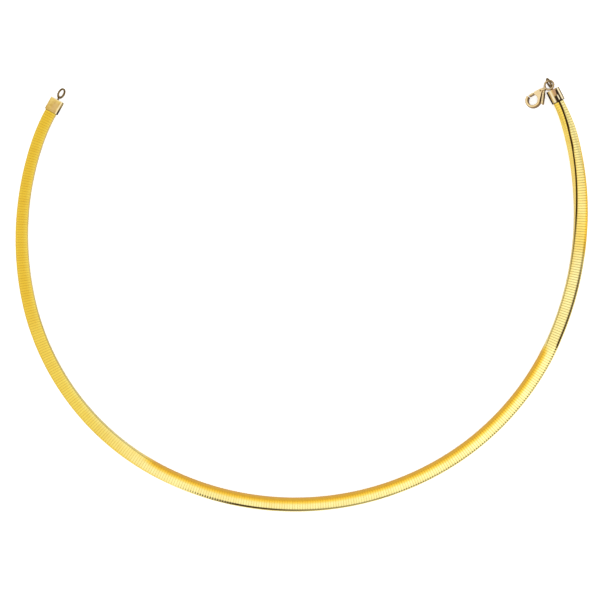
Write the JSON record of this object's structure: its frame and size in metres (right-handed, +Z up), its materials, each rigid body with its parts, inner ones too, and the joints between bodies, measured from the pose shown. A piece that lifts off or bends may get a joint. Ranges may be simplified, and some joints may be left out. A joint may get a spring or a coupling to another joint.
{
  "type": "omega necklace",
  "caption": "Unfastened gold omega necklace, a gently crowned band of edge-to-edge plates with end caps, soldered eyes and a lobster clasp, lying open on a flat surface.",
  "frame": {"origin": "on the surface that the necklace lies on, at the middle of its outline seen from above", "axes": "+Z up out of the surface, +Y from the front of the necklace to its opening, +X to the side of the clasp"},
  "size_m": [0.1936, 0.1466, 0.005],
  "materials": {
    "plate_band": "polished yellow gold plates, crimped edge to edge",
    "end_caps": "polished yellow gold sheet with soldered wire eyes",
    "clasp": "polished cast yellow gold",
    "clasp_lever": "polished cast yellow gold, darker in its recesses"
  },
  "bodies": {
    "necklace": {"plate_band": "plate_band", "left_cap": "end_caps", "right_cap": "end_caps", "clasp_body": "clasp", "clasp_pin": "clasp_lever"},
    "lever": {"clasp_lever": "clasp_lever"}
  },
  "joints": [
    {"name": "lever_pivot", "type": "hinge", "parent": "necklace", "child": "lever", "pos_m": [0.081, 0.0688, 0.00252], "axis": [-0.4227, 0.2215, 0.8788], "range_deg": [0, 20], "stiffness_Nm_per_rad": 0.002, "springref_deg": -11.46}
  ]
}
